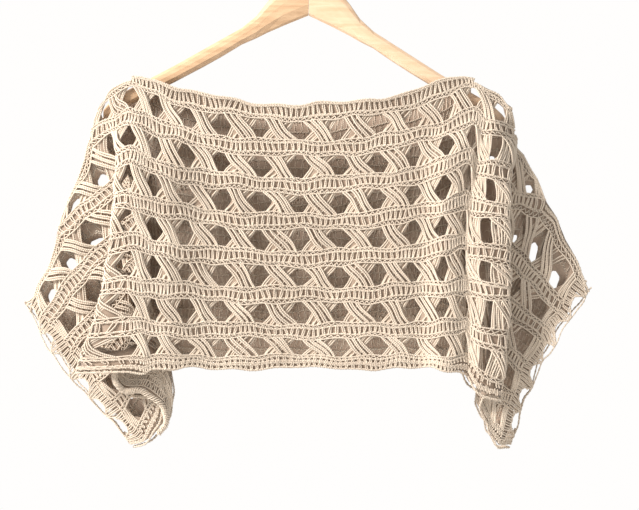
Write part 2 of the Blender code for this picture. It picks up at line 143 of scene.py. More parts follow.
RIGHT_LINES = {
    -0.5: (Knot(0.5, 187, 9, -208), Knot(3, 169, 24, -314), Knot(4.5, 162, 27, -377),
           Knot(6, 166, 29, -440), Knot(7.5, 162, 30, -507)),
    0.0: (Knot(0.5, 199, 8, -215), Knot(3, 184, 32, -316), Knot(4.5, 179, 36, -381),
          Knot(6, 181, 38, -444), Knot(7.5, 171, 37, -525)),
    0.5: (Knot(0.5, 210, 9, -228), Knot(1.3, 215, 2.5, -256), Knot(3, 205, 29, -323),
          Knot(4.5, 205, 33, -386), Knot(6, 204, 34, -449), Knot(7.5, 196, 33, -533)),
    1.0: (Knot(1.4, 218, 1.5, -266), Knot(3, 195, 19, -339), Knot(4.5, 187, 22, -402),
          Knot(6, 186, 23, -463), Knot(7.5, 178, 25, -530)),
    1.5: (Knot(1.57, 226, 1.5, -277), Knot(3, 207, 9, -352), Knot(4.5, 190, 11, -415),
          Knot(6, 186, 13, -476), Knot(7.5, 176, 17, -540)),
    2.5: (Knot(1.87, 244, 1.5, -316), Knot(3, 222, 7, -372), Knot(4.5, 201, 8, -429),
          Knot(6, 191, 9, -490), Knot(7.5, 183, 13, -555)),
    3.5: (Knot(2.17, 264, 1.5, -358), Knot(3, 245, 6, -393), Knot(4.5, 215, 9, -444),
          Knot(6, 198, 9, -505), Knot(7.5, 187, 11, -570)),
    4.5: (Knot(2.47, 286, 1.5, -405), Knot(3, 273, 5, -423), Knot(4.5, 244, 10, -469),
          Knot(6, 217, 9, -520), Knot(7.5, 198, 8, -582)),
    5.0: (Knot(2.62, 294, 1.5, -424), Knot(3.2, 281, 9, -441), Knot(4.5, 252, 15, -484),
          Knot(6, 230, 1.5, -530), Knot(7.5, 211, 1.5, -586)),
}

# Behind the turned-back hem, the lower part of the back's left sleeve hangs a little further in.
BACK_LEFT_HEM = {
    0.5: (Knot(6, -173, 15, -437), Knot(7.5, -151, 24, -499)),
    1.5: (Knot(6, -175, 7, -453), Knot(7.5, -153, 11, -503)),
    2.5: (Knot(6, -182, 7, -477), Knot(7.5, -149, 12, -527)),
    3.5: (Knot(6, -198, 9, -502), Knot(7.5, -153, 10, -548)),
    4.5: (Knot(6, -219, 9, -530), Knot(7.5, -171, 6, -576)),
}

# The columns at which the cloth turns back on itself at the sides.
LEFT_TURNS = (5.5, 6.5)
RIGHT_TURNS = (6.5, 7.0)


def shoulder_row(side, beyond):
    """Row at which the shoulder fold cuts a column beyond the hanger's end."""
    return SHOULDER_TOP_ROW + (LEFT_SHOULDER_SLOPE if side < 0 else RIGHT_SHOULDER_SLOPE) * beyond


def smooth_step(low, high, value):
    """Ease from 0 at low to 1 at high."""
    share = min(1.0, max(0.0, (value - low) / (high - low)))
    return share * share * (3.0 - 2.0 * share)


def spline(knots, places, at, turns=(), turned=0.0):
    """Smooth curve through places at the parameters in knots, straight beyond its ends.

    At the knots named in turns, the share turned of its sideways slope is taken off.
    """
    last = len(knots) - 1
    slopes = []
    for i in range(last + 1):
        low, high = max(i - 1, 0), min(i + 1, last)
        slope = (places[high] - places[low]) / (knots[high] - knots[low])
        if knots[i] in turns:
            slope.x *= 1.0 - turned
        slopes.append(slope)
    if at <= knots[0]:
        return places[0] + slopes[0] * (at - knots[0])
    if at >= knots[last]:
        return places[last] + slopes[last] * (at - knots[last])
    i = max(k for k in range(last) if knots[k] <= at)
    span = knots[i + 1] - knots[i]
    t = (at - knots[i]) / span
    start = places[i] * (2 * t ** 3 - 3 * t ** 2 + 1) + slopes[i] * span * (t ** 3 - 2 * t ** 2 + t)
    end = places[i + 1] * (3 * t ** 2 - 2 * t ** 3) + slopes[i + 1] * span * (t ** 3 - t ** 2)
    return start + end


def body_place(u, r, face):
    """Place on the flat body, in millimetres, on the front (face -1) or the back (face +1)."""
    # The columns draw closer together towards the sides.
    squeeze = 0.26 if u < 0 else 0.31 - 0.10 * (1.0 - smooth_step(1.0, 4.0, r))
    x = BODY_MIDDLE_X + COLUMN_PITCH * u - squeeze * u ** 3
    first = FIRST_ROW_Z + FIRST_ROW_RISE * u * u
    pitch = (HEM_Z - first) / (LAST_ROW - 1.0)

    # Above the first row, the cloth narrows into the neck's corners.
    if r < 1.0:
        pitch *= 1.0 - 0.35 * smooth_step(4.0, 5.0, abs(u))
    z = first + pitch * (r - 1.0)
    drop = (r - NECK_ROW) / (LAST_ROW - NECK_ROW)
    out = BODY_STANDOFF + 5.0 * (1.0 - (u / 5.5) ** 2) + 8.0 * drop
    side_standoff = LEFT_STANDOFF if u < 0 else RIGHT_STANDOFF
    out += side_standoff * smooth_step(2.0, 4.6, abs(u)) * smooth_step(0.8, 2.8, r)
    for fold in FRONT_FOLDS if face < 0 else BACK_FOLDS:
        middle = fold.neck_column + (fold.hem_column - fold.neck_column) * drop
        reach = math.exp(-((u - middle) / fold.half_width) ** 2)
        out += fold.outwards * reach * smooth_step(0.8, 2.6, r)
    return Vector((x, face * out, z))


def side_place(side, beyond, r, face):
    """Place on one line of a side, in millimetres."""
    line = (LEFT_LINES if side < 0 else RIGHT_LINES)[beyond]
    if side < 0 < face and beyond in BACK_LEFT_HEM:
        line = tuple(knot for knot in line if knot.row < 6) + BACK_LEFT_HEM[beyond]
    depth = 1.0 if face < 0 else BACK_DEPTH
    places = [Vector((knot.x, face * knot.out * depth, knot.z)) for knot in line]
    return spline([knot.row for knot in line], places, r)


def hang(u, r, face):
    """Place on the middle of a panel's thickness, in millimetres."""
    if abs(u) <= 4.0:
        return body_place(u, r, face)
    side = -1 if u < 0 else 1

    # Across a side, one curve goes on from the body's last columns through the side's lines.
    knots = [3.0, 4.0, 5.0]
    places = [body_place(side * k, r, face) for k in knots]
    for beyond in LEFT_LINES if side < 0 else RIGHT_LINES:
        knots.append(HANGER_COLUMN + beyond)
        places.append(side_place(side, beyond, r, face))
    return spline(knots, places, abs(u), LEFT_TURNS if side < 0 else RIGHT_TURNS, smooth_step(1.3, 2.5, r))


# The grid of places that a panel keeps: its steps, and the columns and rows that it lies between.
GRID_COLUMN = 0.125
GRID_ROW = 0.1
GRID_COLUMNS = (-11.5, 11.51)
GRID_ROWS = (0.1, 7.71)


class Panel:
    """How one panel hangs: places and outward directions for whole arrays of columns and rows."""

    def __init__(self, face, row_edges):
        self.face = face
        self.row_edges = row_edges
        self.u = np.arange(*GRID_COLUMNS, GRID_COLUMN)
        self.r = np.arange(*GRID_ROWS, GRID_ROW)
        self.places = np.array([[hang(u, r, face) for r in self.r] for u in self.u])
        across = np.gradient(self.places, axis=0)
        down = np.gradient(self.places, axis=1)
        out = np.cross(across, down) * face
        self.out = out / np.linalg.norm(out, axis=2, keepdims=True)
        self.corner_u = np.arange(-CUFF_COLUMN, CUFF_COLUMN + 0.1, 1.0)
        self.corners = np.array([[self.corner(u, r) for r in row_edges] for u in self.corner_u])

    def corner(self, u, r):
        """Corner of a repeat, drawn onto the shoulder fold where the fold cuts its row."""
        side = -1 if u < 0 else 1
        beyond = abs(u) - HANGER_COLUMN
        first, second = (1.5, 2.5) if self.face < 0 else (2.0, 3.0)

        # Where the corners beyond the hanger's end go along the fold, by their column and their row.
        on_fold = {(0.5, first): 0.5, (1.5, first): 1.5, (2.5, first): 2.2,
                   (2.5, second): 2.8, (3.5, second): 3.5, (4.5, second): 4.5}
        if (beyond, r) not in on_fold:
            return (u, r)
        on = on_fold[(beyond, r)]
        return (side * (HANGER_COLUMN + on), shoulder_row(side, on))

    def repeat(self, column, row):
        """Turn places counted in repeats (row 0 is the first row's top) into columns and rows."""
        i = np.clip(np.floor(column + CUFF_COLUMN).astype(int), 0, len(self.corner_u) - 2)
        j = np.clip(np.floor(row).astype(int), 0, len(self.row_edges) - 2)
        s = (column - self.corner_u[i])[..., None]
        t = (row - j)[..., None]
        top = self.corners[i, j] * (1 - s) + self.corners[i + 1, j] * s
        bottom = self.corners[i, j + 1] * (1 - s) + self.corners[i + 1, j + 1] * s
        both = top * (1 - t) + bottom * t
        return both[..., 0], both[..., 1]

    def at(self, u, r, proud):
        """Places in metres at columns u and rows r, proud of the panel by some millimetres.

        Handwork is never quite even, so columns wander a little and rows sag a little.
        """
        uneven = 0.035 * np.sin(3.7 * u + 5.1 * r + 1.0) + 0.02 * np.sin(7.3 * u - 4.2 * r + 2.0)
        sag = 0.040 * np.sin(2.1 * u - 3.3 * r + 4.0) + 0.022 * np.sin(5.9 * u + 2.7 * r + 1.0)
        u, r = u + uneven, r + sag
        a = np.clip((u - self.u[0]) / GRID_COLUMN, 0, len(self.u) - 1.001)
        b = np.clip((r - self.r[0]) / GRID_ROW, 0, len(self.r) - 1.001)
        i, j = a.astype(int), b.astype(int)
        s, t = (a - i)[..., None], (b - j)[..., None]

        def mix(grid):
            top = grid[i, j] * (1 - s) + grid[i + 1, j] * s
            bottom = grid[i, j + 1] * (1 - s) + grid[i + 1, j + 1] * s
            return top * (1 - t) + bottom * t

        return (mix(self.places) + mix(self.out) * proud[..., None]) * MM


ROW_REACHES = (6, 8, 10)


def reach_of_row(index):
    """Last column of a row of repeats: the shoulder fold takes the corners off the top rows."""
    return ROW_REACHES[min(index, 2)]


def add_node(tree, kind, settings=None, inputs=None):
    """One node of any tree: its settings first, then the values or links of its sockets."""
    node = tree.nodes.new(kind)
    for name, value in (settings or {}).items():
        setattr(node, name, value)
    for name, value in (inputs or {}).items():
        socket = node.inputs[name]
        if isinstance(value, Value):
            value = value.socket
        if isinstance(value, bpy.types.NodeSocket):
            tree.links.new(value, socket)
        else:
            socket.default_value = value
    return node


class Value:
    """A number in a shader: arithmetic on it adds the Math nodes."""

    def __init__(self, tree, socket):
        self.tree = tree
        self.socket = socket

    def math(self, operation, first, second=None):
        inputs = {0: first} if second is None else {0: first, 1: second}
        node = add_node(self.tree, "ShaderNodeMath", {"operation": operation}, inputs)
        return Value(self.tree, node.outputs[0])

    def __add__(self, other):
        return self.math("ADD", self, other)

    def __sub__(self, other):
        return self.math("SUBTRACT", self, other)

    def __mul__(self, other):
        return self.math("MULTIPLY", self, other)

    def __rsub__(self, other):
        return self.math("SUBTRACT", other, self)

    __radd__ = __add__
    __rmul__ = __mul__

    def sine(self):
        return self.math("SINE", self)

    def cosine(self):
        return self.math("COSINE", self)

    def clamped(self):
        return self.math("MINIMUM", self.math("MAXIMUM", self, 0.0), 1.0)


def add_material(name):
    """A new material, with its nodes and its main shader."""
    material = bpy.data.materials.new(name)
    material.use_nodes = True
    return material, material.node_tree, material.node_tree.nodes["Principled BSDF"]


# A Mix node's sockets for colours come after those for numbers and for vectors.
MIX_SHARE = 0
MIX_FIRST = 6
MIX_SECOND = 7
MIX_RESULT = 2


def blend_colours(tree, share, first, second):
    """Colour between two others."""
    node = add_node(tree, "ShaderNodeMix", {"data_type": "RGBA"},
                    {MIX_SHARE: share, MIX_FIRST: (*first, 1.0), MIX_SECOND: (*second, 1.0)})
    return node.outputs[MIX_RESULT]


def add_noise(tree, place, scale, detail, **inputs):
    """Noise at a scale, as a number from 0 to 1."""
    inputs = {"Vector": place, "Scale": scale, "Detail": detail, **inputs}
    return Value(tree, add_node(tree, "ShaderNodeTexNoise", inputs=inputs).outputs["Fac"])


# The twist of the yarn, in metres, and how finely its blotches and its fuzz lie.
PLY_PITCH = 0.0021
PLY_HEIGHT = 0.0006
BLOTCH_SCALE = 28.0
FUZZ_SCALE = 1900.0


def yarn_material(name, shade, light):
    """Matte cotton yarn: plies wind round it, with painted shade in the grooves between them, and its colour
    and fuzz vary a little along it.
    """
    material, tree, shader = add_material(name)
    along = Value(tree, add_node(tree, "ShaderNodeAttribute", {"attribute_name": "along"}).outputs["Fac"])
    ring = add_node(tree, "ShaderNodeAttribute", {"attribute_name": "ring"}).outputs["Vector"]
    ring = add_node(tree, "ShaderNodeSeparateXYZ", inputs={"Vector": ring})
    turn = along * (2 * math.pi / PLY_PITCH)
    ply_relief_and_shade = Value(tree, ring.outputs["X"]) * turn.cosine() + Value(tree, ring.outputs["Y"]) * turn.sine()
    place = add_node(tree, "ShaderNodeTexCoord").outputs["Object"]
    blotch = add_noise(tree, place, BLOTCH_SCALE, 3.0)
    fuzz = add_noise(tree, place, FUZZ_SCALE, 2.0)
    # Where the plies' relief sinks the colour is darker too: painted shade in the grooves between plies.
    share = ((ply_relief_and_shade * 0.22 + 0.5) + (blotch - 0.5) * 0.9 + (fuzz - 0.5) * 0.7).clamped()
    tree.links.new(blend_colours(tree, share, shade, light), shader.inputs["Base Color"])
    height = ply_relief_and_shade * 0.5 + fuzz * 0.5
    bump = add_node(tree, "ShaderNodeBump",
                    inputs={"Strength": 0.6, "Distance": PLY_HEIGHT, "Height": height})
    tree.links.new(bump.outputs["Normal"], shader.inputs["Normal"])
    shader.inputs["Roughness"].default_value = 0.9
    shader.inputs["Sheen Weight"].default_value = 0.25
    shader.inputs["Sheen Roughness"].default_value = 0.6
    shader.inputs["Specular IOR Level"].default_value = 0.2
    return material


YARN = yarn_material("cotton_yarn", (0.52, 0.42, 0.32), (0.84, 0.72, 0.58))


def yarn_tree():
    """Geometry Nodes that turn drawn strands into round yarn, with what its material reads."""
    tree = bpy.data.node_groups.new("yarn", "GeometryNodeTree")
    tree.interface.new_socket("Strands", in_out="INPUT", socket_type="NodeSocketGeometry")
    tree.interface.new_socket("Sides", in_out="INPUT", socket_type="NodeSocketInt")
    tree.interface.new_socket("Material", in_out="INPUT", socket_type="NodeSocketMaterial")
    tree.interface.new_socket("Yarn", in_out="OUTPUT", socket_type="NodeSocketGeometry")
    given = add_node(tree, "NodeGroupInput")
    radius = add_node(tree, "GeometryNodeInputNamedAttribute", {"data_type": "FLOAT"}, {"Name": "thickness"})
    curve = add_node(tree, "GeometryNodeMeshToCurve", inputs={"Mesh": given.outputs["Strands"]})
    length = add_node(tree, "GeometryNodeSplineParameter")
    curve = add_node(tree, "GeometryNodeStoreNamedAttribute", {"data_type": "FLOAT", "domain": "POINT"},
                     {"Geometry": curve.outputs["Curve"], "Name": "along", "Value": length.outputs["Length"]})
    circle = add_node(tree, "GeometryNodeCurvePrimitiveCircle", {"mode": "RADIUS"},
                      {"Resolution": given.outputs["Sides"], "Radius": 1.0})
    place = add_node(tree, "GeometryNodeInputPosition")
    circle = add_node(tree, "GeometryNodeStoreNamedAttribute",
                      {"data_type": "FLOAT_VECTOR", "domain": "POINT"},
                      {"Geometry": circle.outputs["Curve"], "Name": "ring",
                       "Value": place.outputs["Position"]})
    tube = add_node(tree, "GeometryNodeCurveToMesh",
                    inputs={"Curve": curve.outputs["Geometry"], "Profile Curve": circle.outputs["Geometry"],
                            "Scale": radius.outputs["Attribute"], "Fill Caps": True})
    smooth = add_node(tree, "GeometryNodeSetShadeSmooth", inputs={"Geometry": tube.outputs["Mesh"]})
    coloured = add_node(tree, "GeometryNodeSetMaterial",
                        inputs={"Geometry": smooth.outputs["Geometry"],
                                "Material": given.outputs["Material"]})
    whole = add_node(tree, "GeometryNodeRealizeInstances", inputs={"Geometry": coloured.outputs["Geometry"]})
    result = add_node(tree, "NodeGroupOutput")
    tree.links.new(whole.outputs["Geometry"], result.inputs["Yarn"])
    return tree


YARN_TREE = yarn_tree()


# The radii of the yarn as it is worked in each kind of stitch.
LONG_STITCH_YARN = 0.95
POST_YARN = 0.80
CHAIN_YARN = 0.75
EDGE_YARN = 0.55
YARN_SIDES = 5

# The stitches of one repeat. Their rows are counted down from its top, and the columns of a crossing's
# long stitches from its middle. A fold at the right pulls one column of gaps nearly shut.
POSTS_IN_REPEAT = 7
WANDER = 0.012
FRONT_STRANDS_PROUD = 0.2
BACK_STRANDS_PROUD = -0.1
LONG_STITCH_TOP = 0.20
LONG_STITCH_ROWS = 0.60
LONG_STITCH_COLUMNS = (0.39, -0.06)
LONG_STITCH_SPACING = 0.165
TWIST_WIDTH = 1.05
TWIST_DEPTH = 0.75
TWIST_ACROSS = 0.80
TWIST_UP = 0.55
Border = namedtuple("Border", "line loops_top loops_foot chain")
BORDERS = (Border(0.215, 0.125, 0.205, 0.105), Border(0.785, 0.795, 0.87, 0.88))
PULLED_COLUMN = 6
PULLED_HALF_WIDTH = 0.10

# The cuff: its cloth ends in scallops, and a thin chain hangs beyond them.
CUFF_CLOTH_COLUMN = 10.70
CUFF_SCALLOP = 0.27
CUFF_POST_PITCH = 0.11
CUFF_OVERLAP = 0.02


def cuff_cloth_column(row):
    """Column that the sleeve's cloth reaches at the cuff: it meets the thin edge chain here and there."""
    return CUFF_CLOTH_COLUMN + CUFF_SCALLOP * np.cos(1.35 * math.pi * row + 0.6) ** 4


def finished_piece(name, drawn):
    """The plain mesh that a drawn object's modifier makes, as a piece of its own."""
    depsgraph = bpy.context.evaluated_depsgraph_get()
    made = bpy.data.meshes.new_from_object(drawn.evaluated_get(depsgraph), depsgraph=depsgraph)
    made.name = name
    bpy.data.objects.remove(drawn)
    piece = add_object(name, made)
    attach(piece, "root")
    return piece


class Stitches:
    """The strands of one piece of lace, drawn on its panel, then turned into yarn."""

    def __init__(self, panel, seed):
        self.panel = panel
        self.random = np.random.default_rng(seed)
        self.places = []
        self.edges = []
        self.radii = []
        self.count = 0

    def strand(self, u, r, proud, radius, in_repeats=True):
        """One strand through arrays of columns and rows, standing proud of the panel."""
        if in_repeats:
            u, r = self.panel.repeat(u, r)
        proud = proud + (FRONT_STRANDS_PROUD if self.panel.face < 0 else BACK_STRANDS_PROUD)
        self.draw(self.panel.at(u, r, proud), radius)

    def draw(self, places, radius):
        """One strand through places in metres."""
        first = self.count
        self.places.append(places)
        self.edges += [(k, k + 1) for k in range(first, first + len(places) - 1)]
        self.radii += [radius * MM] * len(places)
        self.count += len(places)

    def long_stitch(self, top, bottom, row, crest, lift=0.0):
        """Two twisted strands from a column at a row's top to one at its foot, bowed out by crest."""
        t = np.linspace(0.0, 1.0, 7)
        wobble = self.random.uniform(-WANDER, WANDER, 4)
        u = top + wobble[0] + (bottom - top + wobble[1]) * t
        r = row + LONG_STITCH_TOP + wobble[2] + (LONG_STITCH_ROWS + wobble[3]) * t
        bow = crest * np.sin(math.pi * t) ** 0.8 + lift
        phase = self.random.uniform(-0.5, 0.5) + 1.5 * (t - 0.5)
        lean = math.copysign(1.0, bottom - top) if abs(bottom - top) > 0.05 else 0.0
        for way in (-1.0, 1.0):
            aside = way * TWIST_WIDTH * np.cos(phase)
            self.strand(u + aside * TWIST_ACROSS / COLUMN_PITCH, r - lean * aside * TWIST_UP / ROW_PITCH,
                        bow + way * TWIST_DEPTH * np.sin(phase), LONG_STITCH_YARN)

    def crossing(self, column, row):
        """Three long stitches leaning one way, over three that lean the other way."""
        mirror = -self.panel.face
        for k in range(3):
            top, foot = (mirror * (at - LONG_STITCH_SPACING * k) for at in LONG_STITCH_COLUMNS)
            self.long_stitch(column + 0.5 - top, column + 0.5 - foot, row, crest=1.9, lift=0.3)
            self.long_stitch(column + 0.5 + top, column + 0.5 + foot, row, crest=-0.9, lift=-0.4)

    def end_stitches(self, column, row, inwards):
        """Upright long stitches that close the end of a row."""
        for k in (0.04, 0.13, 0.22):
            self.long_stitch(column + inwards * k, column + inwards * k, row, crest=0.6)

    def loops(self, first, last, top, foot):
        """Small loops of yarn that zigzag between two lines."""
        number = round((last - first) * POSTS_IN_REPEAT)
        u = np.linspace(first, last, 3 * number + 1)
        phase = 2 * math.pi * number * (u - first) / (last - first) + self.random.uniform(0, 6)
        r = (top + foot) / 2 + (foot - top) / 2 * np.sin(phase)
        self.strand(u + WANDER * np.cos(2 * phase), r, 0.35 + 0.45 * np.cos(phase), CHAIN_YARN)

    def line(self, first, last, row, proud):
        """One strand of yarn along a row."""
        u = np.linspace(first, last, round(8 * (last - first)) + 1)
        slow = WANDER * np.sin(2.5 * math.pi * u + self.random.uniform(0, 6))
        self.strand(u, row + slow, np.full_like(u, proud), CHAIN_YARN)

    def posts(self, first, last, top, foot, in_repeats=True):
        """A row of short posts, each of two strands that twist a little round each other."""
        number = round((last - first) * POSTS_IN_REPEAT)
        t = np.linspace(0.0, 1.0, 4)
        for k in range(number):
            middle = first + (k + 0.5) * (last - first) / number
            lean = self.random.uniform(-0.02, 0.03)
            u = middle + lean * (t - 0.5) * 2
            r = top + (foot - top) * t
            phase = self.random.uniform(-0.4, 0.4) + 1.6 * (t - 0.5)
            for way in (0.0, math.pi):
                aside = 0.95 * np.cos(phase + way)
                self.strand(u + aside / COLUMN_PITCH, r, 0.4 + 0.5 * np.sin(phase + way),
                            POST_YARN, in_repeats)

    def chain(self, first, last, row, in_repeats=True, swing=0.042, row_of=None):
        """A line of chain along a row: two strands that wind about each other."""
        steps = max(4, round((last - first) * POSTS_IN_REPEAT * 3))
        u = np.linspace(first, last, steps + 1)
        rows = np.full_like(u, row) if row_of is None else np.array([row_of(each) for each in u])
        phase = 2 * math.pi * POSTS_IN_REPEAT * u + self.random.uniform(0, 6)
        slow = WANDER * np.sin(5.0 * u + self.random.uniform(0, 6))
        for way in (0.0, math.pi):
            self.strand(u, rows + slow + swing * 0.5 * np.sin(phase + way),
                        0.2 + TWIST_DEPTH * np.cos(phase + way), CHAIN_YARN, in_repeats)

    def cuff_edge(self, side, index):
        """The end of a row at the cuff: sideways posts, a chain, and a thin chain held off by slits."""
        rows = self.panel.row_edges
        top = shoulder_row(side, CUFF_COLUMN - HANGER_COLUMN) if index == 2 else rows[index]
        foot = LAST_ROW - CUFF_OVERLAP if index == len(rows) - 2 else rows[index + 1]
        start = CUFF_COLUMN - CUFF_OVERLAP
        for row in np.arange(top + 0.06, foot, CUFF_POST_PITCH):
            share = np.linspace(0.0, 1.0, 4)
            u = start + (cuff_cloth_column(row) - start) * share
            lean = self.random.uniform(-0.03, 0.03) * share
            for way in (-1.0, 1.0):
                self.strand(side * u, row + lean + way * 0.022, 0.4 + 0.2 * way + 0 * u, POST_YARN, False)
        r = np.linspace(top, foot, 6 * max(2, round(4 * (foot - top))) + 1)
        phase = 2 * math.pi * 4 * r
        held_off = EDGE_COLUMN - CUFF_OVERLAP + 0.01 * np.sin(11.0 * r)
        for way in (0.0, math.pi):
            self.strand(side * (cuff_cloth_column(r) + 0.018 * np.cos(phase + way)), r,
                        0.2 + 0.6 * np.sin(phase + way), CHAIN_YARN, False)
            self.strand(side * (held_off + 0.012 * np.cos(phase + way)), r,
                        0.4 * np.sin(phase + way), EDGE_YARN, False)
        if index == 2:
            self.chain(*sorted((side * CUFF_COLUMN, side * EDGE_COLUMN)), top, in_repeats=False,
                       row_of=lambda u: shoulder_row(side, abs(u) - HANGER_COLUMN) + 0.03)

    def open_band(self, start, stop, index, rows):
        """The front's band between two rows of crossings: loops, a chain, posts, a chain and loops."""
        for border in BORDERS:
            self.line(start, stop, index + border.line, proud=0.8)
            self.loops(start, stop, index + border.loops_top, index + border.loops_foot)
            self.chain(start, stop, index + border.chain)
        self.posts(start, stop, index + BORDERS[1].chain, index + (1.11 if index < rows - 1 else 1.0))

    def close_band(self, start, stop, index, rows):
        """The back's band: two rows of posts, with a chain on each side and a chain between them."""
        self.chain(start, stop, index + 0.235)
        self.chain(start, stop, index + 0.765)
        self.posts(start, stop, index + 0.01, index + 0.23)
        if index < rows - 1:
            self.chain(start, stop, index + 1.0)
        self.posts(start, stop, index + 0.77, index + 0.99)

    def lace(self, low, high):
        """All the rows of lace between two columns, both ends of a repeat."""
        rows = len(self.panel.row_edges) - 1
        for index in range(rows):
            reach = reach_of_row(index)
            start, stop = max(low, -reach - 0.5), min(high, reach + 0.5)
            if stop <= start:
                continue
            for column in range(math.ceil(start), math.floor(stop)):
                self.crossing(column, index)
            if low <= -reach - 0.5:
                self.end_stitches(-reach - 0.5, index, 1)
            if high >= reach + 0.5:
                self.end_stitches(reach + 0.5, index, -1)
            if self.panel.face < 0 and low <= PULLED_COLUMN < high and index > 0:
                self.end_stitches(PULLED_COLUMN + PULLED_HALF_WIDTH, index, 1)
                self.end_stitches(PULLED_COLUMN - PULLED_HALF_WIDTH, index, -1)
            if self.panel.face < 0:
                self.open_band(start, stop, index, rows)
            else:
                self.close_band(start, stop, index, rows)

            # A chain closes the step that the shoulder leaves at each end of a top row.
            above = reach_of_row(index - 1) + 0.5 if index > 0 else NECK_COLUMN
            for side in (-1, 1):
                ends = sorted((side * above, side * (reach + 0.5)))
                ends = [max(ends[0], low), min(ends[1], high)]
                if ends[1] > ends[0] + 0.2:
                    self.chain(ends[0], ends[1], index + 0.04, swing=0.05)
            if index >= 2:
                for side in (-1, 1):
                    if low <= side * CUFF_COLUMN <= high:
                        self.cuff_edge(side, index)

    def piece(self, name, material):
        """The finished piece: its strands drawn as edges, made round by the yarn tree."""
        mesh = bpy.data.meshes.new(name + "_strands")
        places = np.concatenate(self.places)
        mesh.from_pydata(places.tolist(), self.edges, [])
        thickness = mesh.attributes.new("thickness", "FLOAT", "POINT")
        thickness.data.foreach_set("value", np.array(self.radii, dtype=np.float32))
        drawn = add_object(name + "_strands", mesh)
        modifier = drawn.modifiers.new("yarn", "NODES")
        modifier.node_group = YARN_TREE
        given = {"Sides": YARN_SIDES, "Material": material}
        for item in YARN_TREE.interface.items_tree:
            if item.name in given:
                modifier[item.identifier] = given[item.name]
        return finished_piece(name, drawn)


# Behind the stitches lies the close ground, with the six-sided gaps in it. Its sheet stands for the yarn's
# inner loops and is coloured darker than the yarn: painted shade in the small gaps between stitches. It
# stands proud of the panel's middle by some millimetres, and its gaps are measured in repeats.
Ground = namedtuple("Ground", "proud gap_half_width gap_flat gap_half_row")
FRONT_GROUND = Ground(-0.8, 0.27, 0.13, 0.28)
GROUND_THICKNESS = 0.6
GROUND_STEPS = 4
WELD_DISTANCE = 0.02
# The front's ground is coloured much darker than the yarn: painted shade in the gaps between stitches, and in
# the turned hollow below.
PAINTED_SHADE_LOOPS = yarn_material("painted_shade_loops", (0.24, 0.17, 0.12), (0.42, 0.32, 0.24))
PARTS = (
    ("left_sleeve", -EDGE_COLUMN, -NECK_COLUMN),
    ("left_body", -NECK_COLUMN, 0),
    ("right_body", 0, NECK_COLUMN),
    ("right_sleeve", NECK_COLUMN, EDGE_COLUMN),
)


def neck_row(u):
    """Row of the neck's edge: the edging narrows into the corners at the shoulders."""
    return NECK_ROW + 0.09 * smooth_step(4.0, 5.0, abs(u))


def ground_points(panel, column, index, close):
    """Rings of points on one repeat, from its border in to the six-sided gap at its middle."""
    steps = np.arange(GROUND_STEPS) / GROUND_STEPS - 0.5
    flat = np.full(GROUND_STEPS, 0.5)
    x = np.concatenate([steps, flat, -steps, -flat])
    y = np.concatenate([-flat, steps, flat, -steps])

    # How far in a point goes to meet the gap, at its flat top or foot or on a slanting side.
    slant = (1.0 - close.gap_flat / close.gap_half_width) / close.gap_half_row
    leant = np.abs(x) / close.gap_half_width + np.abs(y) * slant
    inward = 1.0 / np.maximum(np.abs(y) / close.gap_half_row, leant)
    rings = []
    for share in (1.0, 0.5, 0.0):
        scale = share + (1.0 - share) * inward
        u, r = panel.repeat(column + x * scale, index + 0.5 + y * scale)
        rings.append(panel.at(u, r, np.full_like(u, close.proud)))
    return rings


def ground(name, panel, close, material, nodes):
    """The close ground behind the stitches: the yarn's inner loops as one thin sheet with open gaps, which
    fills the small gaps between stitches with painted shade.
    """
    sheet = bmesh.new()

    def add_strip(rings, closed):
        verts = [[sheet.verts.new(place) for place in ring] for ring in rings]
        for outer, inner in zip(verts, verts[1:]):
            for k in range(len(outer) - (0 if closed else 1)):
                after = (k + 1) % len(outer)
                sheet.faces.new((outer[k], inner[k], inner[after], outer[after]))

    for index in range(len(panel.row_edges) - 1):
        for column in range(-reach_of_row(index), reach_of_row(index) + 1):
            add_strip(ground_points(panel, column, index, close), True)

    # Plain strips go on from the repeats: up to the neck's edge, down to the hem's, and out to the cuffs.
    top, foot = panel.row_edges[0], panel.row_edges[-1]
    for last, high, low in ((NECK_COLUMN, neck_row, top), (CUFF_CLOTH_COLUMN, lambda u: foot, LAST_ROW)):
        whole = math.floor(GROUND_STEPS * last) / GROUND_STEPS
        u = np.unique(np.append(np.arange(-whole, last, 1.0 / GROUND_STEPS), (-last, last)))
        first = np.array([high(each) for each in u])
        rings = []
        for share in (0.0, 0.5, 1.0):
            r = first * (1.0 - share) + low * share
            rings.append(panel.at(u, r, np.full_like(u, close.proud)))
        add_strip(rings, False)
    for side in (-1, 1):
        rings = []
        for u in np.linspace(CUFF_COLUMN, CUFF_CLOTH_COLUMN, 3):
            knots = [shoulder_row(side, u - HANGER_COLUMN), *panel.row_edges[3:]]
            spans = [np.linspace(a, b, GROUND_STEPS + 1)[:-1] for a, b in zip(knots, knots[1:])]
            r = np.concatenate(spans + [[foot]])
            rings.append(panel.at(np.full_like(r, side * u), r, np.full_like(r, close.proud)))
        add_strip(rings, False)
    return thin_cloth(name, sheet, material, nodes)


def thin_cloth(name, sheet, material, nodes):
    """A piece of thin cloth from its drawn middle surface."""
    bmesh.ops.remove_doubles(sheet, verts=sheet.verts, dist=WELD_DISTANCE * MM)
    bmesh.ops.recalc_face_normals(sheet, faces=sheet.faces)
    mesh = bpy.data.meshes.new(name + "_flat")
    sheet.to_mesh(mesh)
    sheet.free()
    mesh.materials.append(material)
    mesh.shade_smooth()
    drawn = add_object(name + "_flat", mesh)
    wall = drawn.modifiers.new("wall", "SOLIDIFY")
    wall.thickness = GROUND_THICKNESS * MM
    wall.offset = 0.0
    piece = finished_piece(name, drawn)
    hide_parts(*nodes)
    return piece


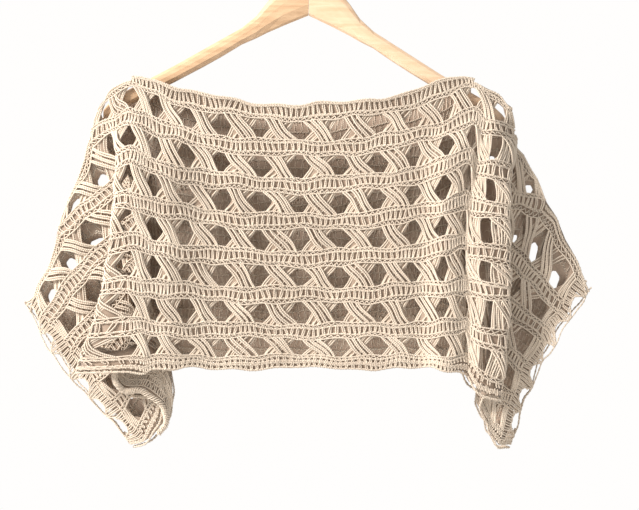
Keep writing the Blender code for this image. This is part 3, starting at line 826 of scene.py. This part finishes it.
def lace_panel(name, panel, nodes, seed):
    """The stitches of a whole lace panel: the two halves of the body and the two sleeves' sides."""
    made = []
    for k, (part, low, high) in enumerate(PARTS):
        stitches = Stitches(panel, seed + k)
        stitches.lace(low, high)
        piece = stitches.piece(f"{name}_{part}", YARN)
        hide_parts(*nodes)
        made.append(piece)
    return made


front = Panel(face=-1, row_edges=[0.5, 1.5, 2.5, 3.5, 4.5, 5.5, 6.5, 7.32])
front_ground = ground("front_ground", front, FRONT_GROUND, PAINTED_SHADE_LOOPS, ["front_panel"])
front_pieces = lace_panel("front", front, ["front_panel"], seed=11)

# The back panel.
# It is worked like the front, from the same yarn, and joined to it along the shoulders. Its rows hang
# half a repeat lower, so its close rows show through the gaps of the front.
BACK_GROUND = Ground(0.1, 0.23, 0.11, 0.155)
# The back's ground is coloured darker than the yarn as well: painted shade in the gaps between its stitches.
BACK_PAINTED_SHADE_LOOPS = yarn_material("back_painted_shade_loops", (0.39, 0.29, 0.21), (0.62, 0.475, 0.37))

back = Panel(face=1, row_edges=[1.0, 2.0, 3.0, 4.0, 5.0, 6.0, 7.0])
back_ground = ground("back_ground", back, BACK_GROUND, BACK_PAINTED_SHADE_LOOPS, ["back_panel"])
back_pieces = lace_panel("back", back, ["back_panel"], seed=31)

# The neck's edging.
# A close band of posts between chains is worked onto the top of each panel, and it draws the wide boat
# neck in a little. It is the same yarn, coloured a shade darker.
EDGING_YARN = yarn_material("edging_yarn", (0.50, 0.40, 0.31), (0.80, 0.69, 0.55))


def edging(name, panel, node, last, lines, posts, seed):
    """A band of chain lines and rows of posts, each given by its rows."""
    stitches = Stitches(panel, seed)
    for row in lines:
        stitches.chain(-last, last, row, in_repeats=False,
                       row_of=lambda u, row=row: row + neck_row(u) - NECK_ROW)
    for top, foot in posts:
        stitches.posts(-last, last, top, foot, in_repeats=False)
    piece = stitches.piece(name, EDGING_YARN)
    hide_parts(node)
    return piece


front_pieces.append(edging("front_neck_edging", front, "neck_band_front", NECK_COLUMN, (0.285, 0.33, 0.60),
                           ((0.35, 0.58),), seed=51))
back_pieces.append(edging("back_neck_edging", back, "neck_band_back", NECK_COLUMN,
                          (0.285, 0.33, 0.58, 0.64, 0.97), ((0.35, 0.56), (0.66, 0.95)), seed=52))

# The hem's edging.
# The same kind of band closes the bottom of both panels, right out to the sleeves' lower corners. It is
# one row of posts high on the front and two rows high on the back.
front_pieces.append(edging("front_hem_edging", front, "hem_band_front", EDGE_COLUMN, (7.32, 7.36, 7.48),
                           ((7.35, 7.48),), seed=61))
back_pieces.append(edging("back_hem_edging", back, "hem_band_back", EDGE_COLUMN, (7.06, 7.24, 7.30, 7.48),
                          ((7.06, 7.24), (7.30, 7.47)), seed=62))

# The turned-back hem.
# At the lower left the sleeve's hem has rolled outwards as it hangs. Its edge makes a soft rope of
# stitches, and the hollow above the rope shows the inside of the cloth.

# Each turn gives one place on the rope and, after it, the place on the hollow's far edge.
Turn = namedtuple("Turn", "x out z inner_x inner_out inner_z")
TURNS = (
    Turn(-203, 30, -498, -203, 20, -496),
    Turn(-205, 29, -507, -199, 18, -496),
    Turn(-203, 28, -517, -192, 16, -496),
    Turn(-198, 26, -524, -184, 15, -496),
    Turn(-190, 24, -526, -175, 14, -496),
    Turn(-178, 22, -526, -165, 14, -497),
    Turn(-167, 20, -533, -157, 14, -500),
    Turn(-157, 18, -542, -151, 14, -511),
    Turn(-153, 15, -553, -148, 13, -526),
    Turn(-155, 11, -564, -149, 12, -542),
    Turn(-162, 7, -573, -157, 8, -560),
)
ROPE_RADIUS = 2.6
ROPE_STRANDS = 4
ROPE_TURNS = 13
ROPE_CORE_RADIUS = 1.9
HOLLOW_DEPTH = 5.0
HOLLOW_STEPS = 6
HOLLOW_POSTS = (0.15, 0.36, 0.57, 0.78)
HOLLOW_POST_LENGTH = 0.19
HOLLOW_CHAINS = (0.14, 0.35, 0.56, 0.77, 0.96)


def turned_place(t, share):
    """Place on the turned-back cloth, from its rope (share 0) up into the hollow (share 1)."""
    knots = list(range(len(TURNS)))
    rim = spline(knots, [Vector((turn.x, -turn.out, turn.z)) for turn in TURNS], t)
    inner = spline(knots, [Vector((turn.inner_x, -turn.inner_out, turn.inner_z)) for turn in TURNS], t)
    place = rim.lerp(inner, share)
    place.y += HOLLOW_DEPTH * math.sin(math.pi * min(share, 0.75))
    return place * MM


def proud_of_turn(t, share, proud):
    """Place a little in front of the turned-back cloth, along its own slope."""
    step = 0.02
    place = turned_place(t, share)
    slope = (turned_place(t + step, share) - turned_place(t - step, share)).cross(
        turned_place(t, share + step) - turned_place(t, share - step)).normalized()
    return place + slope * math.copysign(proud * MM, -slope.y)


last_turn = len(TURNS) - 1
hollow = bmesh.new()
grid = [[hollow.verts.new(turned_place(t, share)) for share in np.linspace(0.0, 1.0, HOLLOW_STEPS + 1)]
        for t in np.linspace(0.0, last_turn, 3 * last_turn + 1)]
for near, after in zip(grid, grid[1:]):
    for k in range(HOLLOW_STEPS):
        hollow.faces.new((near[k], after[k], after[k + 1], near[k + 1]))
# The hollow's sheet takes the ground's dark colour: painted shade in the hollow behind the rope.
front_pieces.append(thin_cloth("turned_back_hollow", hollow, PAINTED_SHADE_LOOPS, ["hem_band_front"]))

# Posts and chains lie on the inside of the cloth in the hollow.
turned = Stitches(front, seed=71)
for start in np.arange(0.08, last_turn - 0.05, 0.2):
    for share in HOLLOW_POSTS:
        lean = start + turned.random.normal(0.0, 0.03, 5)
        up = np.linspace(share, share + HOLLOW_POST_LENGTH, 5)
        post = [proud_of_turn(t, each, 1.0) for t, each in zip(lean, up)]
        turned.draw(np.array(post), POST_YARN)
along = np.linspace(0.04, last_turn - 0.04, 4 * last_turn + 1)
for share in HOLLOW_CHAINS:
    row = [proud_of_turn(t, share, 1.3) for t in along]
    turned.draw(np.array(row), CHAIN_YARN)

# The rope is a core with strands that wind round it, along the turned edge.
along = np.linspace(0.0, last_turn, 16 * last_turn + 1)
core = np.array([turned_place(t, 0.0) for t in along])
ahead = np.gradient(core, axis=0)
ahead /= np.linalg.norm(ahead, axis=1, keepdims=True)
aside = np.cross(ahead, np.array([0.0, -1.0, 0.0]))
aside /= np.linalg.norm(aside, axis=1, keepdims=True)
forward = np.cross(aside, ahead)
turned.draw(core, ROPE_CORE_RADIUS)
for k in range(ROPE_STRANDS):
    angle = 2 * math.pi * (k / ROPE_STRANDS + ROPE_TURNS * along / last_turn)
    uneven = ROPE_RADIUS * (1.0 + 0.18 * np.sin(5.0 * along + 2.0 * k))
    swirl = np.cos(angle)[:, None] * aside + np.sin(angle)[:, None] * forward
    turned.draw(core + swirl * (uneven * MM)[:, None], LONG_STITCH_YARN)
turned_back = turned.piece("turned_back_hem", YARN)
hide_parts("hem_band_front")
front_pieces.append(turned_back)


def hang_sheet(panel, close):
    """Count a whole panel's cloth in repeats, less its gaps, with the plain strips above and below its rows;
    the count is not kept.
    """
    repeats = sum(2 * reach_of_row(index) + 1 for index in range(len(panel.row_edges) - 1))
    repeats *= 1.0 - 2.0 * close.gap_half_row * (close.gap_flat + close.gap_half_width)
    repeats += 2 * NECK_COLUMN * (panel.row_edges[0] - NECK_ROW)
    repeats += 2 * CUFF_COLUMN * (LAST_ROW - panel.row_edges[-1])


hang_sheet(front, FRONT_GROUND)
hang_sheet(back, BACK_GROUND)

# The hanger's arms.
# Two pieces of solid wood, tan on the left and paler on the right, are joined in the middle, rounded
# and clear-lacquered. The grain runs along each arm.
ARM_SLOPE = 29.0
GRAIN_SCALE = (6.0, 60.0, 60.0)


def wood_material(name, dark, light, slope):
    """Lacquered wood with its grain along an arm that falls away at slope degrees."""
    material, tree, shader = add_material(name)
    place = add_node(tree, "ShaderNodeTexCoord").outputs["Object"]
    drawn_out = add_node(tree, "ShaderNodeMapping", inputs={
        "Vector": place, "Rotation": (0.0, math.radians(slope), 0.0), "Scale": GRAIN_SCALE})
    place = drawn_out.outputs["Vector"]
    grain = add_noise(tree, place, 3.0, 6.0, Roughness=0.6, Distortion=0.6)
    pores = add_noise(tree, place, 22.0, 3.0)
    share = ((grain - 0.5) * 2.2 + (pores - 0.5) * 0.5 + 0.55).clamped()
    tree.links.new(blend_colours(tree, share, dark, light), shader.inputs["Base Color"])
    tree.links.new((pores * 0.15 + 0.32).socket, shader.inputs["Roughness"])
    bump = add_node(tree, "ShaderNodeBump", inputs={"Strength": 0.15, "Distance": 0.0004, "Height": grain})
    tree.links.new(bump.outputs["Normal"], shader.inputs["Normal"])
    shader.inputs["Coat Weight"].default_value = 0.3
    shader.inputs["Coat Roughness"].default_value = 0.25
    return material


def dress(node, material):
    """Give a kept CAD solid its finish."""
    solid = bpy.data.objects[node]
    for slot in solid.material_slots:
        slot.material = material


dress("hanger_arm_left", wood_material("tan_wood", (0.50, 0.30, 0.16), (0.74, 0.50, 0.30), ARM_SLOPE))
dress("hanger_arm_right", wood_material("pale_wood", (0.68, 0.44, 0.26), (0.84, 0.62, 0.42), -ARM_SLOPE))

# The hanger's hook.
# A bent steel wire is screwed into the joint of the two arms. Its plating is bright, with faint marks
# of wear.
WEAR_SCALE = 160.0


def plated_wire():
    """Bright plating, a little duller where it is worn."""
    material, tree, shader = add_material("plated_wire")
    place = add_node(tree, "ShaderNodeTexCoord").outputs["Object"]
    wear = add_noise(tree, place, WEAR_SCALE, 4.0)
    tree.links.new((wear * 0.22 + 0.12).socket, shader.inputs["Roughness"])
    tree.links.new(blend_colours(tree, wear, (0.62, 0.62, 0.63), (0.82, 0.82, 0.83)),
                   shader.inputs["Base Color"])
    shader.inputs["Metallic"].default_value = 1.0
    return material


dress("hanger_hook", plated_wire())

# The floor and the light.
# A plain pale floor lies well below the hem. Soft daylight comes from the upper left, and the pale
# room fills the shadows.
FLOOR_Z = -1.05
FLOOR_HALF_WIDTH = 1.2
floor_mesh = bpy.data.meshes.new("floor")
square = bmesh.new()
bmesh.ops.create_grid(square, x_segments=1, y_segments=1, size=FLOOR_HALF_WIDTH)
square.to_mesh(floor_mesh)
square.free()
floor = add_object("floor", floor_mesh)
floor.location.z = FLOOR_Z
pale_floor, _, floor_shader = add_material("pale_floor")
floor_shader.inputs["Base Color"].default_value = (0.86, 0.85, 0.83, 1.0)
floor_mesh.materials.append(pale_floor)


def soft_light(name, place, size, power, colour):
    """A large soft light that faces the top."""
    data = bpy.data.lights.new(name, "AREA")
    data.shape = "SQUARE"
    data.size = size
    data.energy = power
    data.color = colour
    light = add_object(name, data)
    light.location = place
    aim = PICTURE_CENTRE - Vector(place)
    light.rotation_euler = aim.to_track_quat("-Z", "Y").to_euler()


soft_light("window", (-1.7, -1.0, 0.75), size=0.7, power=98.0, colour=(1.0, 0.97, 0.95))
soft_light("room", (1.3, -1.8, 0.2), size=1.6, power=3.0, colour=(1.0, 0.97, 0.94))

# The picture's ground is plain white, and the room lights the top with a little over half of that.
ROOM_LIGHT = 0.58
world = bpy.data.worlds.new("room")
bpy.context.scene.world = world
world.use_nodes = True
background = world.node_tree.nodes["Background"]
background.inputs["Color"].default_value = (1.0, 0.99, 0.98, 1.0)
seen = Value(world.node_tree, add_node(world.node_tree, "ShaderNodeLightPath").outputs["Is Camera Ray"])
world.node_tree.links.new((seen * (1.0 - ROOM_LIGHT) + ROOM_LIGHT).socket, background.inputs["Strength"])
bpy.context.scene.view_settings.view_transform = "Standard"
